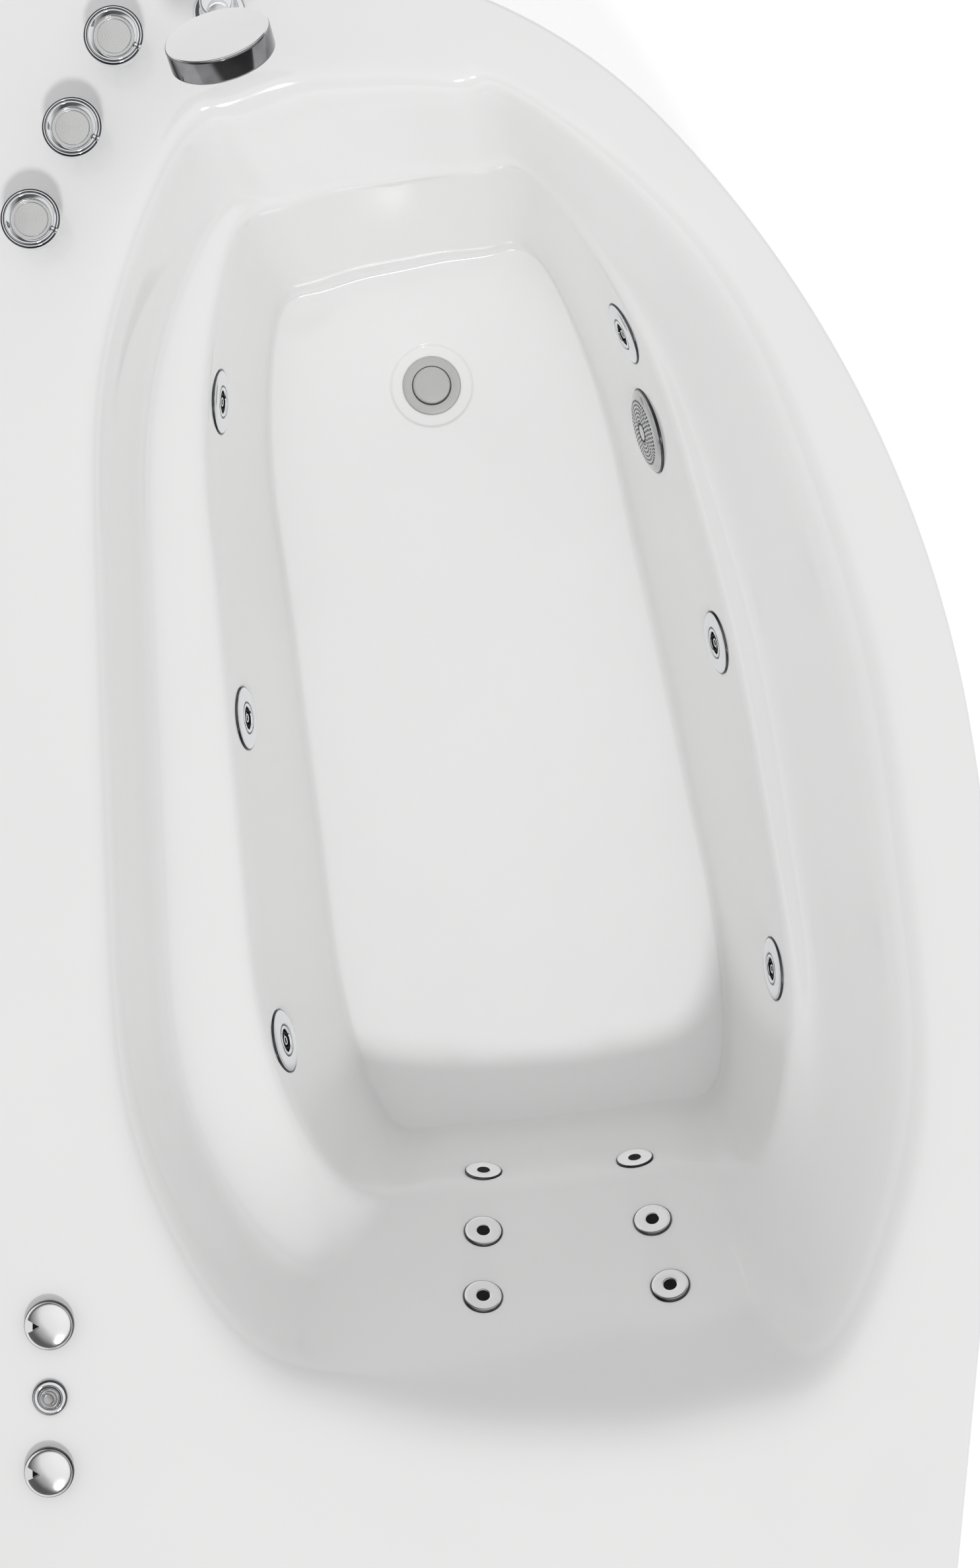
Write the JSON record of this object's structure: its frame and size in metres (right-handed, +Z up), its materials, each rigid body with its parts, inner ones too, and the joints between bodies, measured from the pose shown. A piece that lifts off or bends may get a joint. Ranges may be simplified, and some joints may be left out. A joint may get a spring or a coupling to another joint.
{
  "type": "jetted bathtub",
  "caption": "Asymmetric acrylic bathtub with a curved front, skewed basin, wall and backrest jets, deck taps, hand shower and air controls.",
  "frame": {"origin": "middle of the bounding box, on the ground", "axes": "+X along the tub to the tap end, +Y to the wall side, +Z up"},
  "size_m": [1.7, 1.0449, 0.805],
  "materials": {
    "acrylic_white": "gloss",
    "chrome": "polished",
    "clear_hose": "gloss",
    "dark_plastic": "satin",
    "foot_steel": "zinc plated",
    "frame_enamel": "semi-gloss",
    "grey_plastic": "satin",
    "motor_enamel": "semi-gloss",
    "pipe_plastic": "matte",
    "sealed_board": "sealed"
  },
  "bodies": {
    "tub": {"air_control_bodies": "chrome", "air_pipes": "clear_hose", "apron_brackets": "frame_enamel", "apron_screws": "foot_steel", "base_board": "sealed_board", "control_box": "grey_plastic", "control_tube": "clear_hose", "drain_flange": "chrome", "drain_nut": "pipe_plastic", "front_apron": "acrylic_white", "jet_bodies": "pipe_plastic", "jet_covers": "chrome", "leg_feet": "foot_steel", "leg_lock_nuts": "foot_steel", "power_button_housing": "chrome", "pump_foot": "dark_plastic", "pump_motor": "motor_enamel", "pump_shelf": "foot_steel", "pump_volute": "dark_plastic", "shower_holder": "chrome", "suction_cover": "chrome", "suction_pipe": "pipe_plastic", "support_frame": "frame_enamel", "tap_valves": "chrome", "tub_shell": "acrylic_white", "waste_trap": "pipe_plastic", "water_pipes": "pipe_plastic"},
    "nozzle_wall_foot": {"side_jet_nozzle_wall_foot": "chrome"},
    "nozzle_wall_middle": {"side_jet_nozzle_wall_middle": "chrome"},
    "nozzle_wall_head": {"side_jet_nozzle_wall_head": "chrome"},
    "nozzle_front_foot": {"side_jet_nozzle_front_foot": "chrome"},
    "nozzle_front_middle": {"side_jet_nozzle_front_middle": "chrome"},
    "nozzle_front_head": {"side_jet_nozzle_front_head": "chrome"},
    "tap_hot": {"tap_handle_hot": "chrome"},
    "tap_diverter": {"tap_handle_diverter": "chrome"},
    "tap_cold": {"tap_handle_cold": "chrome"},
    "air_knob_foot_side": {"air_control_knob_foot_side": "chrome"},
    "air_knob_head_side": {"air_control_knob_head_side": "chrome"},
    "button": {"power_button": "chrome"},
    "stopper": {"drain_stopper": "chrome"},
    "shower": {"hand_shower": "chrome", "shower_face": "grey_plastic"},
    "impeller": {"pump_impeller": "dark_plastic"}
  },
  "joints": [
    {"name": "nozzle_wall_foot_tilt", "type": "hinge", "parent": "tub", "child": "nozzle_wall_foot", "pos_m": [0.43117, 0.29195, 0.39939], "axis": [0.9992, -0.0392, 0], "range_deg": [-12, 12]},
    {"name": "nozzle_wall_middle_tilt", "type": "hinge", "parent": "tub", "child": "nozzle_wall_middle", "pos_m": [0.08459, 0.26443, 0.39915], "axis": [0.9955, 0.0951, 0], "range_deg": [-12, 12]},
    {"name": "nozzle_wall_head_tilt", "type": "hinge", "parent": "tub", "child": "nozzle_wall_head", "pos_m": [-0.26894, 0.22227, 0.399], "axis": [0.9753, 0.2207, 0], "range_deg": [-12, 12]},
    {"name": "nozzle_front_foot_tilt", "type": "hinge", "parent": "tub", "child": "nozzle_front_foot", "pos_m": [0.50787, -0.15865, 0.39954], "axis": [-0.9044, -0.4266, 0], "range_deg": [-12, 12]},
    {"name": "nozzle_front_middle_tilt", "type": "hinge", "parent": "tub", "child": "nozzle_front_middle", "pos_m": [0.16897, -0.25999, 0.39921], "axis": [-0.9746, -0.2241, 0], "range_deg": [-12, 12]},
    {"name": "nozzle_front_head_tilt", "type": "hinge", "parent": "tub", "child": "nozzle_front_head", "pos_m": [-0.18861, -0.32241, 0.39932], "axis": [-0.9959, -0.09, 0], "range_deg": [-12, 12]},
    {"name": "tap_hot_turn", "type": "hinge", "parent": "tub", "child": "tap_hot", "pos_m": [0.7555, 0.366, 0.6], "axis": [0, 0, 1], "range_deg": [0, 90]},
    {"name": "tap_diverter_turn", "type": "hinge", "parent": "tub", "child": "tap_diverter", "pos_m": [0.6645, 0.4072, 0.6], "axis": [0, 0, 1], "range_deg": [-45, 45]},
    {"name": "tap_cold_turn", "type": "hinge", "parent": "tub", "child": "tap_cold", "pos_m": [0.5735, 0.4484, 0.6], "axis": [0, 0, 1], "range_deg": [-90, 0]},
    {"name": "air_knob_foot_side_turn", "type": "hinge", "parent": "tub", "child": "air_knob_foot_side", "pos_m": [-0.532, 0.4365, 0.6], "axis": [0, 0, 1], "range_deg": [0, 180]},
    {"name": "air_knob_head_side_turn", "type": "hinge", "parent": "tub", "child": "air_knob_head_side", "pos_m": [-0.68, 0.4365, 0.6], "axis": [0, 0, 1], "range_deg": [0, 180]},
    {"name": "button_press", "type": "slide", "parent": "tub", "child": "button", "axis": [0, 0, -1], "range_m": [0, 0.003], "stiffness_N_per_m": 400},
    {"name": "stopper_lift", "type": "slide", "parent": "tub", "child": "stopper", "axis": [0, 0, 1], "range_m": [0, 0.009]},
    {"name": "shower_lift", "type": "slide", "parent": "tub", "child": "shower", "axis": [-0.504, -0.1117, 0.8564], "range_m": [0, 0.15]},
    {"name": "impeller_spin", "type": "hinge", "parent": "tub", "child": "impeller", "pos_m": [-0.6, 0.3, 0.234], "axis": [1, 0, 0], "continuous": true}
  ]
}
